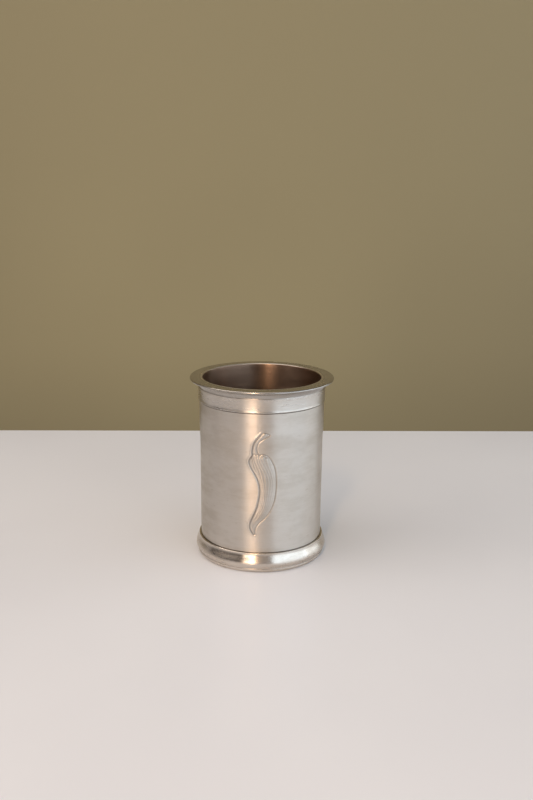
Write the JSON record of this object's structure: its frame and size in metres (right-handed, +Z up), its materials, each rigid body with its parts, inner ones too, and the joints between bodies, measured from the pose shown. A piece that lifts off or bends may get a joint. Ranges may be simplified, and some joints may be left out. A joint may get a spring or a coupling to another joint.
{
  "type": "pewter beaker",
  "caption": "Handle-less pewter drinking beaker with a wide flat rim, a collar band, a moulded foot and a chilli in low relief on its wall.",
  "frame": {"origin": "centre of the foot, on the surface that the beaker stands on", "axes": "+Z up along the vessel's axis, -Y towards the viewer, out through the chilli"},
  "size_m": [0.0994, 0.0994, 0.1268],
  "materials": {
    "satin_pewter": "satin pewter with fine turning lines",
    "satin_flange": "flat satin pewter, nearly mirror at a low angle",
    "satin_collar": "satin pewter",
    "polished_foot": "polished pewter",
    "dull_base": "dull turned pewter"
  },
  "bodies": {
    "root": {"body_wall": "satin_pewter", "rim_flange": "satin_flange", "collar_band": "satin_collar", "foot_ring": "polished_foot", "base_plate": "dull_base"}
  },
  "joints": []
}
